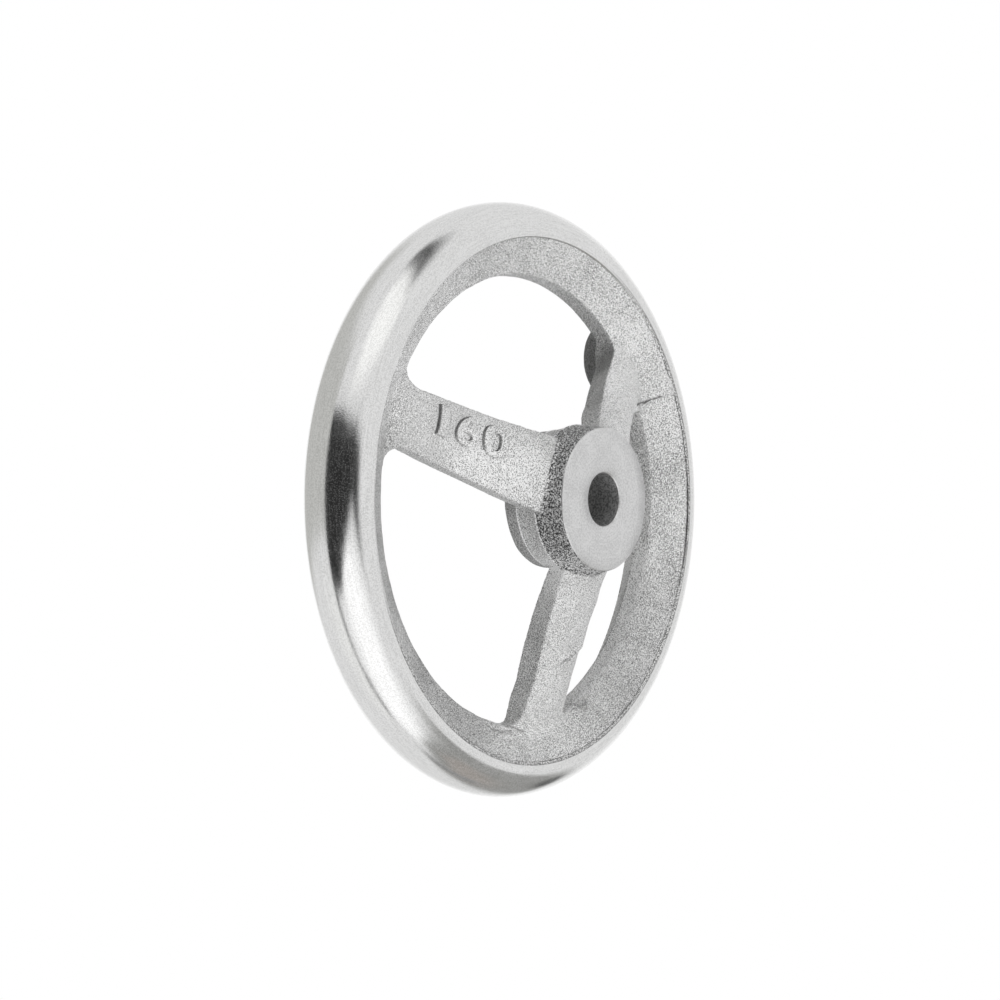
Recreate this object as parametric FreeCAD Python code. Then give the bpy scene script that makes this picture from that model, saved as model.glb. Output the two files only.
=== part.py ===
import FreeCAD, Part
import math
import os

from FreeCAD import Base

# Cast aluminium machine handwheel, dished, with three spokes.
# The wheel turns about Y. Its hub stands out towards -Y, the machine's side, and the rim's front
# is on +Y, the operator's side. Heights are counted along the axis from the rim's middle plane,
# positive towards the machine, so a height h lies at y = originHeight - h. All sizes are in mm.

# Wheel
wheelDiameter = 160.0
hubBackHeight = 31.5

# Rim: round and polished outside, with a cast slope on each side that narrows it to a lip
rimSectionDiameter = 22.0
polishEdgeDepth = 9.1
polishEdgeDrop = 0.6
shoulderAngle = 53.0
rimWidth = 19.9
lipBackHeight = 4.1
lipFrontHeight = -0.5

# Hub: it widens from the machined face to the parting line, and narrows again to the nose
hubLength = 20.0
hubFaceDiameter = 38.0
hubFlare = 0.75
hubPartingDepth = 8.6
hubFootDepth = 15.5
hubNoseInset = 0.6
hubNoseDraft = 2.0
hubNoseEdge = 0.8

# Shaft bore
boreDiameter = 14.0
boreChamfer = 0.5

# Spokes: what has three values has them at the hub, halfway and at the rim
spokeCount = 3
firstSpokeAngle = 37.9
ridgeDropAtHub = 3.9
ridgeSag = 1.1
ridgeRiseAtRim = 3.1
spokeThicknesses = (11.5, 10.8, 8.4)
crownRadii = (15.0, 15.5, 24.0)
bellyRadius = 70.0
blankHalfWidth = 12.8
blankOverlap = 5.0
blankSpans = 6

# Openings between the spokes, whose walls lean in towards the front
webHalfWidthAtHub = 6.3
webHalfWidthAtRim = 7.2
wallDraft = 10.5
lipDraft = 5.0
rimCornerRadius = 4.6
crownFootRadius = 4.0
crownFootMargin = 1.0
sharpAngle = 15.0

# Boss for a grip, on the front of the first spoke
bossDiameter = 20.0
bossInset = 5.0
bossFrontHeight = -5.3
bossRootHeight = 1.5
bossDraft = 4.0
bossChamfer = 0.8

# What follows from the sizes above
wheelRadius = wheelDiameter / 2
rimSectionRadius = rimSectionDiameter / 2
rimCentreRadius = wheelRadius - rimSectionRadius
polishEdgeRadius = wheelRadius - polishEdgeDepth
polishEdgeHeight = rimSectionRadius - polishEdgeDrop
lipRadius = wheelRadius - rimWidth
hubNoseHeight = hubBackHeight - hubLength
hubFaceRadius = hubFaceDiameter / 2
hubPartingRadius = hubFaceRadius + hubFlare
hubNoseRadius = hubFaceRadius - hubNoseInset
originHeight = (hubBackHeight + hubNoseHeight) / 2
ridgeAtHub = hubBackHeight - ridgeDropAtHub
ridgeAtRim = lipBackHeight + ridgeRiseAtRim
ridgeHeights = (ridgeAtHub, (ridgeAtHub + ridgeAtRim) / 2 - ridgeSag, ridgeAtRim)
seamAngle = firstSpokeAngle + 180 / spokeCount
axisOrigin = Base.Vector(0, 0, 0)
axisDirection = Base.Vector(0, 1, 0)


def wheelPoint(x, z, height):
    # A point of the wheel from its place across the axis and its height
    return Base.Vector(x, originHeight - height, z)


def polarPoint(radius, degrees, height):
    angle = math.radians(degrees)
    return wheelPoint(radius * math.cos(angle), radius * math.sin(angle), height)


def line(start, end):
    return Part.makeLine(start, end)


def arc(start, middle, end):
    return Part.Arc(start, middle, end).toShape()


def revolved(edges):
    # A closed outline in the X-Y half plane, turned about the wheel's axis. Its seam is put
    # midway between two spokes, where no edge is rounded across it.
    face = Part.Face(Part.Wire(edges))
    solid = face.revolve(axisOrigin, axisDirection, 360)
    solid.rotate(axisOrigin, axisDirection, -seamAngle)
    return solid


def turnedPolygon(corners):
    points = [wheelPoint(radius, 0, height) for radius, height in corners]
    closed = points + points[:1]
    return revolved([line(a, b) for a, b in zip(closed, closed[1:])])


def throughThree(values, t):
    # The parabola through three values at t = -1, 0 and 1
    low, middle, high = values
    return middle + (high - low) / 2 * t + ((high + low) / 2 - middle) * t * t


def makeRim():
    # Round section: the polished surface runs round the outside, over a tighter shoulder on
    # each side, to the crisp edges where the cast slopes begin
    def onSection(degrees):
        angle = math.radians(degrees)
        radius = rimCentreRadius + rimSectionRadius * math.cos(angle)
        return wheelPoint(radius, 0, rimSectionRadius * math.sin(angle))

    def shoulder(side):
        # From the round section to the crisp edge, as an arc that leaves the round smoothly
        start = onSection(side * shoulderAngle)
        end = wheelPoint(polishEdgeRadius, 0, side * polishEdgeHeight)
        angle = math.radians(shoulderAngle)
        outward = Base.Vector(math.cos(angle), -side * math.sin(angle), 0)
        chord = end - start
        radius = -chord.Length ** 2 / (2 * chord.dot(outward))
        centre = start - outward * radius
        halfway = (start + end) * 0.5 - centre
        return arc(start, centre + halfway.normalize() * radius, end)

    def slopeFoot(lipHeight, side):
        # The slope runs on inside the lip, where the openings are cut
        fall = (side * polishEdgeHeight - lipHeight) / (polishEdgeRadius - lipRadius)
        return wheelPoint(lipRadius - lipOverrun, 0, lipHeight - lipOverrun * fall)

    lipOverrun = (lipBackHeight - lipFrontHeight) / 2
    back = slopeFoot(lipBackHeight, 1)
    front = slopeFoot(lipFrontHeight, -1)
    return revolved([
        arc(onSection(-shoulderAngle), onSection(0), onSection(shoulderAngle)),
        shoulder(1),
        line(wheelPoint(polishEdgeRadius, 0, polishEdgeHeight), back),
        line(back, front),
        line(front, wheelPoint(polishEdgeRadius, 0, -polishEdgeHeight)),
        shoulder(-1),
    ])


def spokeCourse(radius):
    # How far along the spoke a radius lies: -1 at the hub, 1 at the lip
    return 2 * (radius - hubPartingRadius) / (lipRadius - hubPartingRadius) - 1


def spokeSection(radius, degrees):
    # One cross-section of a spoke blank, before the openings trim its sides: a crown above,
    # a flatter belly below
    t = spokeCourse(radius)
    ridge = throughThree(ridgeHeights, t)
    crown = throughThree(crownRadii, t)
    half = blankHalfWidth
    belly = ridge - throughThree(spokeThicknesses, t)
    crownDrop = crown - math.sqrt(crown ** 2 - half ** 2)
    bellyDrop = bellyRadius - math.sqrt(bellyRadius ** 2 - half ** 2)
    angle = math.radians(degrees)

    def place(side, height):
        x = radius * math.cos(angle) - side * math.sin(angle)
        z = radius * math.sin(angle) + side * math.cos(angle)
        return wheelPoint(x, z, height)

    left = place(-half, ridge - crownDrop)
    right = place(half, ridge - crownDrop)
    lowLeft = place(-half, belly + bellyDrop)
    lowRight = place(half, belly + bellyDrop)
    return Part.Wire([
        arc(left, place(0, ridge), right),
        line(right, lowRight),
        arc(lowRight, place(0, belly), lowLeft),
        line(lowLeft, left),
    ])


def makeSpoke(degrees):
    # The blank starts inside the hub and ends inside the rim
    start = hubPartingRadius - blankOverlap
    span = lipRadius + blankOverlap - start
    radii = [start + span * k / blankSpans for k in range(blankSpans + 1)]
    return Part.makeLoft([spokeSection(radius, degrees) for radius in radii], True, False)


def makeOpening(degrees):
    # The opening between the spoke at this angle and the next one: a cone, trimmed by the two
    # spokes' walls, with its corners at the rim rounded
    low = -rimSectionRadius
    high = hubBackHeight + 1
    lipSlope = math.tan(math.radians(lipDraft))
    wallSlope = math.tan(math.radians(wallDraft))
    taper = (webHalfWidthAtRim - webHalfWidthAtHub) / (lipRadius - hubPartingRadius)

    def wallSide(spokeAngle, side):
        # All that lies beyond one wall of a spoke
        def onWall(along, height):
            offset = webHalfWidthAtHub + taper * (along - hubPartingRadius) + wallSlope * height
            angle = spokeAngle + side * math.degrees(math.atan2(offset, along))
            return polarPoint(math.hypot(along, offset), angle, height)

        reach = wheelDiameter
        corners = [onWall(-reach, low), onWall(reach, low), onWall(reach, high), onWall(-reach, high)]
        wall = Part.Face(Part.makePolygon(corners + corners[:1]))
        away = polarPoint(wheelDiameter, spokeAngle + side * 90, 0) - polarPoint(0, 0, 0)
        return wall.extrude(away)

    bottom = polarPoint(0, 0, high)
    wide = lipRadius + high * lipSlope
    narrow = lipRadius + low * lipSlope
    opening = Part.makeCone(wide, narrow, high - low, bottom, axisDirection)
    opening = opening.common(wallSide(degrees, 1))
    opening = opening.common(wallSide(degrees + 360 / spokeCount, -1))
    corners = [edge for edge in opening.Edges if isUpright(edge)]
    return opening.makeFillet(rimCornerRadius, corners)


def isUpright(edge):
    # One of the opening's corners at the rim, which run from front to back
    ends = [vertex.Point for vertex in edge.Vertexes]
    radii = [math.hypot(point.x, point.z) for point in ends]
    depth = abs(ends[0].y - ends[-1].y)
    return min(radii) > (hubPartingRadius + lipRadius) / 2 and depth > hubLength


def makeHub():
    noseFoot = hubBackHeight - hubFootDepth
    tipRadius = hubNoseRadius - (hubLength - hubFootDepth) * math.tan(math.radians(hubNoseDraft))
    return turnedPolygon([
        (0, hubBackHeight),
        (hubFaceRadius, hubBackHeight),
        (hubPartingRadius, hubBackHeight - hubPartingDepth),
        (hubNoseRadius, noseFoot),
        (tipRadius, hubNoseHeight + hubNoseEdge),
        (tipRadius - hubNoseEdge, hubNoseHeight),
        (0, hubNoseHeight),
    ])


def makeBore():
    radius = boreDiameter / 2
    mouth = radius + 2 * boreChamfer
    return turnedPolygon([
        (0, hubBackHeight + boreChamfer),
        (mouth, hubBackHeight + boreChamfer),
        (radius, hubBackHeight - boreChamfer),
        (radius, hubNoseHeight + boreChamfer),
        (mouth, hubNoseHeight - boreChamfer),
        (0, hubNoseHeight - boreChamfer),
    ])


def makeBoss(degrees):
    root = polarPoint(rimCentreRadius - bossInset, degrees, bossRootHeight)
    front = bossDiameter / 2
    height = bossRootHeight - bossFrontHeight
    back = front + height * math.tan(math.radians(bossDraft))
    cone = Part.makeCone(back, front, height, root, axisDirection)
    frontEdges = [edge for edge in cone.Edges if placeOf(edge)[1] < bossFrontHeight + bossChamfer]
    return cone.makeChamfer(bossChamfer, frontEdges)


def middleOf(edge):
    return edge.valueAt((edge.FirstParameter + edge.LastParameter) / 2)


def placeOf(edge):
    # Radius and height of the middle of an edge
    point = middleOf(edge)
    return math.hypot(point.x, point.z), originHeight - point.y


def isSharp(shape, edge):
    point = middleOf(edge)
    faces = shape.ancestorsOfType(edge, Part.Face)
    if len(faces) != 2:
        return False
    normals = [face.normalAt(*face.Surface.parameter(point)) for face in faces]
    return math.degrees(normals[0].getAngle(normals[1])) > sharpAngle


def isCrownFoot(edge):
    # Where a spoke's crown runs into the slope on the back of the rim
    radius, height = placeOf(edge)
    onSlope = lipRadius + crownFootMargin < radius < polishEdgeRadius - crownFootMargin
    return onSlope and height > lipBackHeight


spokeAngles = [firstSpokeAngle + 360 / spokeCount * k for k in range(spokeCount)]
wheel = makeRim().multiFuse([makeSpoke(angle) for angle in spokeAngles])
print("fused", wheel.isValid(), len(wheel.Solids), round(wheel.Volume))
for angle in spokeAngles:
    wheel = wheel.cut(makeOpening(angle))
print("openings", wheel.isValid(), len(wheel.Solids), round(wheel.Volume))

crownFeet = [edge for edge in wheel.Edges if isCrownFoot(edge) and isSharp(wheel, edge)]
wheel = wheel.makeFillet(crownFootRadius, crownFeet)
print("rounded", len(crownFeet), wheel.isValid(), len(wheel.Solids), round(wheel.Volume))

wheel = wheel.fuse(makeHub())
print("hub", wheel.isValid(), len(wheel.Solids), round(wheel.Volume))
wheel = wheel.fuse(makeBoss(spokeAngles[0]))
wheel = wheel.cut(makeBore())
print("bore and boss", wheel.isValid(), len(wheel.Solids), round(wheel.Volume))

os.makedirs("parts", exist_ok=True)
wheel.exportStep("parts/handwheel.step")
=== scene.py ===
import math

import bmesh
import bpy
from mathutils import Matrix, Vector
from mathutils.bvhtree import BVHTree


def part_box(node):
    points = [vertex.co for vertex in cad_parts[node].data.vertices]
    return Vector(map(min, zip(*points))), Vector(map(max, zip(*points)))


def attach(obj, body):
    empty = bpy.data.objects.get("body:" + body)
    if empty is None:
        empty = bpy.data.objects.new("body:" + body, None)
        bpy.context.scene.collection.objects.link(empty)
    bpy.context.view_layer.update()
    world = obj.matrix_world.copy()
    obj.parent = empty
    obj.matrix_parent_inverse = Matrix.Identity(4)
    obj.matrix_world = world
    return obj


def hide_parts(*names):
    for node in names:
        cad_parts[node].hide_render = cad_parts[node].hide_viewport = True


# Cast aluminium machine handwheel: a sandy casting with a polished rim, a machined hub face and
# bore, and raised figures on one spoke. Lengths are in metres, or in mm where a note says so.
# Heights are counted along the axis from the rim's middle plane, towards the machine at -Y.

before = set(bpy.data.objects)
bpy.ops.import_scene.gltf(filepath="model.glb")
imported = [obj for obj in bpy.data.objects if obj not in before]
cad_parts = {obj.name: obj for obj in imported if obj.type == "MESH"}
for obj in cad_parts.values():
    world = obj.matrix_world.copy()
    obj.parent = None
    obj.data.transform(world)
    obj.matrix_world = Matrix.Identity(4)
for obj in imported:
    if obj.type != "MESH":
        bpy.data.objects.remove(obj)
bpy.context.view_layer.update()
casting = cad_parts["handwheel"]
boxLow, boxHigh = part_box("handwheel")
mm = 0.001

wheel = {
    "radius": (boxHigh.x - boxLow.x) / 2,
    "hubBack": 31.5 * mm,
    "hubLength": 20 * mm,
    "firstSpoke": 37.9,
    "spokes": 3,
    # Heights of the spokes' ridge at the hub, halfway and at the lip, in mm
    "ridge": (27.6, 16.3, 7.2),
    "ridgeFrom": 19.75,
    "ridgeTo": 60.1,
}
middleY = boxLow.y + wheel["hubBack"]      # the rim's middle plane
hubNose = wheel["hubBack"] - wheel["hubLength"]


def eased(value, start, end):
    share = min(max((value - start) / (end - start), 0.0), 1.0)
    return share * share * (3 - 2 * share)


def ridgeHeight(along):
    # Height of the spokes' ridge at a distance from the axis, both in mm
    first, middle, last = wheel["ridge"]
    t = 2 * (along - wheel["ridgeFrom"]) / (wheel["ridgeTo"] - wheel["ridgeFrom"]) - 1
    return middle + (last - first) / 2 * t + ((last + first) / 2 - middle) * t * t


# Node trees

def feed(tree, node, inputs):
    # Each input takes another node's socket or a plain value
    for name, value in inputs.items():
        if isinstance(value, bpy.types.NodeSocket):
            tree.links.new(value, node.inputs[name])
        else:
            node.inputs[name].default_value = value


def addNode(tree, kind, inputs=None, **settings):
    made = tree.nodes.new(kind)
    for name, value in settings.items():
        setattr(made, name, value)
    feed(tree, made, inputs or {})
    return made


def calc(tree, operation, first, second=0.0, third=0.0, clamp=False):
    inputs = {0: first, 1: second, 2: third}
    return addNode(tree, "ShaderNodeMath", inputs, operation=operation, use_clamp=clamp).outputs[0]


def times(tree, first, second, plus=0.0):
    return calc(tree, "MULTIPLY_ADD", first, second, plus)


def calcVector(tree, operation, *vectors, scale=None):
    # Gives a vector, or a number for the operations that measure one
    inputs = dict(enumerate(vectors))
    if scale is not None:
        inputs["Scale"] = scale
    made = addNode(tree, "ShaderNodeVectorMath", inputs, operation=operation)
    return made.outputs["Value" if operation in ("LENGTH", "DISTANCE", "DOT_PRODUCT") else "Vector"]


def between(tree, value, start, end, low=0.0, high=1.0):
    # Rises smoothly from low at start to high at end
    inputs = {"Value": value, "From Min": start, "From Max": end, "To Min": low, "To Max": high}
    return addNode(tree, "ShaderNodeMapRange", inputs, interpolation_type="SMOOTHSTEP").outputs[0]


def newTree(name, inputs):
    # A Geometry Nodes tree with its inputs' names and kinds
    tree = bpy.data.node_groups.new(name, "GeometryNodeTree")
    tree.interface.new_socket("Geometry", in_out="OUTPUT", socket_type="NodeSocketGeometry")
    for label, kind in inputs.items():
        tree.interface.new_socket(label, in_out="INPUT", socket_type="NodeSocket" + kind)
    return tree, addNode(tree, "NodeGroupInput").outputs


def finishTree(tree, shape, finish):
    # Smooth shading, plain geometry and the piece's material, at the end of each tree
    smooth = addNode(tree, "GeometryNodeSetShadeSmooth", {"Geometry": shape})
    whole = addNode(tree, "GeometryNodeRealizeInstances", {"Geometry": smooth.outputs[0]})
    painted = addNode(tree, "GeometryNodeSetMaterial", {"Geometry": whole.outputs[0], "Material": finish})
    addNode(tree, "NodeGroupOutput", {"Geometry": painted.outputs[0]})


def addTree(worker, tree, values):
    # Puts the tree on a worker, with its inputs set by their identifiers
    modifier = worker.modifiers.new(tree.name, "NODES")
    modifier.node_group = tree
    for name, value in values.items():
        found = next(item for item in tree.interface.items_tree if item.name == name)
        modifier[found.identifier] = value


def newObject(name, data):
    made = bpy.data.objects.new(name, data)
    bpy.context.scene.collection.objects.link(made)
    return made


def settle(worker, name):
    # The modifiers' result as a plain mesh object
    bpy.context.view_layer.update()
    ready = worker.evaluated_get(bpy.context.evaluated_depsgraph_get())
    mesh = bpy.data.meshes.new_from_object(ready)
    bpy.data.objects.remove(worker)
    mesh.name = name
    return newObject(name, mesh)


def addPointValues(mesh, name, values):
    # A value for each point of a mesh, which its material reads
    made = mesh.attributes.new(name, "FLOAT", "POINT")
    made.data.foreach_set("value", values)


# Materials

noiseMain = (0.3, 0.7)      # between these lies nearly all of a noise


def newMaterial(name):
    # Patterns are laid out in mm, on the object's own coordinates
    material = bpy.data.materials.new(name)
    material.use_nodes = True
    tree = material.node_tree
    shader = tree.nodes["Principled BSDF"]
    place = addNode(tree, "ShaderNodeTexCoord").outputs["Object"]
    return material, tree, shader, calcVector(tree, "SCALE", place, scale=1 / mm)


def fromAxis(tree, place):
    # Distance from the wheel's axis and height above the rim's middle plane, in mm
    parts = addNode(tree, "ShaderNodeSeparateXYZ", {0: place}).outputs
    flat = addNode(tree, "ShaderNodeCombineXYZ", {"X": parts["X"], "Z": parts["Z"]}).outputs[0]
    return calcVector(tree, "LENGTH", flat), calc(tree, "SUBTRACT", middleY / mm, parts["Y"])


def grain(tree, place, size, detail=1, roughness=0.5):
    inputs = {"Vector": place, "Scale": 1 / size, "Detail": detail, "Roughness": roughness}
    return addNode(tree, "ShaderNodeTexNoise", inputs).outputs[0]


def pointValue(tree, name):
    return addNode(tree, "ShaderNodeAttribute", attribute_name=name).outputs["Fac"]


def blended(tree, share, first, second):
    # From the first colour at 0 to the second at 1
    made = addNode(tree, "ShaderNodeMix", data_type="RGBA")
    slots = [k for k, socket in enumerate(made.inputs) if socket.type == "RGBA"]
    feed(tree, made, {0: share, slots[0]: first, slots[1]: second})
    return next(socket for socket in made.outputs if socket.type == "RGBA")


def bumped(tree, height, depth, under=None, strength=None):
    # Relief of a pattern, on top of the relief under it
    inputs = {"Height": height, "Distance": depth, "Normal": under, "Strength": strength}
    inputs = {name: value for name, value in inputs.items() if value is not None}
    return addNode(tree, "ShaderNodeBump", inputs).outputs[0]


# Sizes of patterns and places are in mm here, depths in metres

castLook = {
    "bright": (1.08, 1.08, 1.075, 1),
    "dull": (0.17, 0.17, 0.17, 1),
    "contrast": (0.26, 0.70),
    "metallic": 0.30,
    "roughness": (0.58, 0.44),      # in the sand's hollows and on its tops
    "sandGrain": 0.28,
    "sandDepth": 0.26 * mm,
    "lumps": 2.0,
    "lumpDepth": 0.20 * mm,
    "clouds": 14,
    "cloudShare": 0.15,
    # The hub's last band is coarser and darker than the rest
    "coarseGrain": 0.44,
    "coarseDepth": 0.60 * mm,
    "coarseBright": (0.95, 0.95, 0.95, 1),
    "coarseDull": (0.045, 0.045, 0.045, 1),
    "coarseContrast": (0.35, 0.69),
    "hubEnd": (20.7, 20.1),
    "coarseFrom": (-0.1, 0.3),      # from the parting seam
    "footFrom": (0.2, -0.2),        # from the foot seam
    "footSkin": 0.35,
    "shadeShare": 0.80,
    # Painted shade on all walls
    "wallShade": -0.03,
    "wallGrit": 0.3,
    "rimGrit": 0.45,
    "rimFrom": (59, 63),
    # Painted shade and painted light on the walls, and on the faces between them, made darker or brighter:
    # angle round the axis, radius and height of the middle, reach and tone
    "walls": {
        "boss": {"at": (37.9, 61, -1.5), "reach": 16, "tone": -0.42, "below": -0.5},
        "first wall": {"at": (48, 43, 4), "reach": 24, "tone": -0.30},
        "first wall end": {"at": (45.6, 53, 7), "reach": 7, "tone": -0.26},
        "lower lip": {"at": (-40, 60, 2), "reach": 30, "tone": 0.42},
        "lower lip's edge": {"at": (-36, 60, 0), "reach": 24, "tone": -0.55, "below": -0.1},
        "right lip": {"at": (-8, 60, 2), "reach": 18, "tone": 0.14},
        "lower left lip": {"at": (215, 61, 2), "reach": 16, "tone": -0.16},
        "hub below": {"at": (262, 19, 28), "reach": 13, "tone": 0.46},
        "lower wall": {"at": (264, 30, 12), "reach": 13, "tone": -0.15},
        "hub side": {"at": (200, 19, 27), "reach": 10, "tone": -0.14},
    },
    "faces": {
        "first crown": {"at": (34, 36, 17), "reach": 20, "tone": 0.50, "grit": 0.9},
        "lower crown": {"at": (271, 30, 21), "reach": 10, "tone": 0.08},
        "lower crown end": {"at": (272, 46, 14), "reach": 12, "tone": 0.10},
        "left spoke below": {"at": (167, 30, 16), "reach": 17, "tone": 0.24, "grit": 0.8},
        "lower foot corner": {"at": (295.3, 61.2, 4.7), "reach": 3.4, "tone": -0.20},
        "lower right": {"at": (-43, 66, 6), "reach": 32, "tone": -0.20},
        "left spoke at the hub": {"at": (166, 23, 22), "reach": 8, "tone": 0.30},
        "left spoke": {"at": (156, 44, 14), "reach": 22, "tone": 0.04, "grit": -0.35},
        "lower left end": {"at": (214, 65, 6), "reach": 18, "tone": -0.12, "grit": 0.6},
        "lower left": {"at": (-124, 65, 6), "reach": 26, "tone": -0.28, "grit": 0.6},
        "left": {"at": (186, 65, 6), "reach": 28, "tone": -0.34},
        "upper right": {"at": (55, 66, 7), "reach": 26, "tone": 0.16},
    },
    "patchFade": (1.15, 0.5),       # where a patch ends and is full, as shares of its reach
    "belowFade": 0.3,
}


def placeAt(angle, radius, height):
    # A place in mm by its angle round the axis, radius and height
    turn = math.radians(angle)
    return radius * math.cos(turn), middleY / mm - height, radius * math.sin(turn)


def lineShade(tree, place):
    # Painted shade in the creases: how near a point is to their lines, which waver a little. Heights
    # count for little, enough to keep the lines off the wheel's other side.
    waver = marks["shadeWaver"]
    squeeze = (1, marks["shadeHeights"], 1)
    farAway = 9.0
    inputs = {"Vector": place, "Scale": marks["shadeWavers"], "Detail": 2.0}
    warp = addNode(tree, "ShaderNodeTexNoise", inputs).outputs[1]
    moved = calcVector(tree, "MULTIPLY_ADD", warp, (waver, waver, waver), place)
    moved = calcVector(tree, "SUBTRACT", moved, (waver / 2, waver / 2, waver / 2))
    flat = calcVector(tree, "MULTIPLY", moved, squeeze)
    shade = 0.0
    for spoke, weight, line in marks["shadeLines"]:
        nearest = farAway
        points = [wheelPlace(*point, spoke) / mm for point in line]
        points = [Vector((x, y * squeeze[1], z)) for x, y, z in points]
        for first, last in zip(points, points[1:]):
            run = last - first
            gap = calcVector(tree, "SUBTRACT", flat, first)
            share = calcVector(tree, "DOT_PRODUCT", gap, run / run.length_squared)
            share = calc(tree, "ADD", share, 0.0, clamp=True)
            closest = calcVector(tree, "SCALE", run, scale=share)
            nearest = calc(tree, "MINIMUM", calcVector(tree, "DISTANCE", gap, closest), nearest)
        share = between(tree, nearest, *marks["shadeWidth"], 0.0, weight)
        shade = calc(tree, "MAXIMUM", share, shade)
    return shade


def makeCastMaterial():
    material, tree, shader, place = newMaterial("cast_aluminium")
    look = castLook
    radius, height = fromAxis(tree, place)
    onHub = between(tree, radius, *look["hubEnd"])
    fromParting = [hubShape["parting"] / mm + step for step in look["coarseFrom"]]
    fromFoot = [hubShape["foot"] / mm + step for step in look["footFrom"]]
    nearBand = times(tree, onHub, between(tree, height, *fromParting))
    farBand = times(tree, onHub, between(tree, height, *fromFoot))
    wall = pointValue(tree, "wall")
    face = calc(tree, "SUBTRACT", 1.0, wall)
    patches = [(wall, patch) for patch in look["walls"].values()]
    patches += [(face, patch) for patch in look["faces"].values()]
    # Tone makes the skin darker or brighter, mostly as painted shade and painted light, and grit raises
    # its contrast
    tone = times(tree, farBand, -look["footSkin"], plus=1.0)
    tone = times(tree, wall, look["wallShade"], plus=tone)
    grit = times(tree, wall, look["wallGrit"], plus=1.0)
    grit = times(tree, between(tree, radius, *look["rimFrom"]), look["rimGrit"], plus=grit)
    for surface, patch in patches:
        gap = calcVector(tree, "DISTANCE", place, placeAt(*patch["at"]))
        share = between(tree, gap, *(patch["reach"] * fade for fade in look["patchFade"]))
        share = times(tree, share, surface)
        if "below" in patch:
            fade = look["belowFade"]
            under = between(tree, height, patch["below"] + fade, patch["below"] - fade)
            share = times(tree, share, under)
        tone = times(tree, share, patch["tone"], plus=tone)
        if "grit" in patch:
            grit = times(tree, share, patch["grit"], plus=grit)
    sand = grain(tree, place, look["sandGrain"])
    coarse = grain(tree, place, look["coarseGrain"])
    lumps = grain(tree, place, look["lumps"], detail=2)
    clouds = grain(tree, place, look["clouds"], detail=3, roughness=0.6)
    fine = times(tree, sand, 1 - look["cloudShare"])
    fine = times(tree, clouds, look["cloudShare"], plus=fine)
    fine = times(tree, calc(tree, "SUBTRACT", fine, 0.5), grit, plus=0.5)
    colour = blended(tree, between(tree, fine, *look["contrast"]), look["dull"], look["bright"])
    rough = between(tree, coarse, *look["coarseContrast"])
    rough = blended(tree, rough, look["coarseDull"], look["coarseBright"])
    colour = blended(tree, nearBand, colour, rough)
    # Painted shade on the figures' walls and in the creases, and a painted highlight on the seams
    paintedShading = calc(tree, "ADD", pointValue(tree, "paintedShading"), lineShade(tree, place))
    tone = times(tree, tone, times(tree, paintedShading, -look["shadeShare"], plus=1.0))
    colour = calcVector(tree, "SCALE", colour, scale=tone)
    relief = bumped(tree, lumps, look["lumpDepth"])
    relief = bumped(tree, sand, look["sandDepth"], relief)
    relief = bumped(tree, coarse, look["coarseDepth"], relief, nearBand)
    feed(tree, shader, {
        "Base Color": calcVector(tree, "MINIMUM", colour, (1.0, 1.0, 1.0)),
        "Metallic": look["metallic"],
        "Roughness": between(tree, sand, *noiseMain, *look["roughness"]),
        "Normal": relief,
    })
    return material


# Painted shade lies along the edge, where the polish ends. Its ends are counted from the edge outwards.

polishLook = {
    "colour": (1.0, 1.0, 0.995, 1),
    "dull": (0.83, 0.83, 0.825, 1),
    "contrast": (0.40, 0.58),
    "roughness": (0.12, 0.18),
    "haze": 9,
    "scratch": 0.30,
    "scratchDepth": 0.006 * mm,
    "scratchStretch": 0.03,
    "speck": 0.40,
    "speckDepth": 0.010 * mm,
    "speckShare": 0.6,
    "edgeShade": 0.9,
    "edgeShadeTone": 0.2,
    "shoulderOuter": (0.42, 0.20),
    "shoulderInner": (-0.12, 0.02),
    "shoulderSpecks": (0.34, 0.54),
    "land": (0.02, -0.10),
    "landSpecks": (0.46, 0.54),
    # The painted shade is left out at the upper left: the share of X less Z, and where it fades
    "unshadedTilt": 0.8,
    "unshadedFade": (-45, -5),
    # The satin's specks scatter a little light, which shows in dark reflections
    "satin": (0.46, 0.64),
    "satinMetallic": (1.0, 0.92),
}


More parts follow.
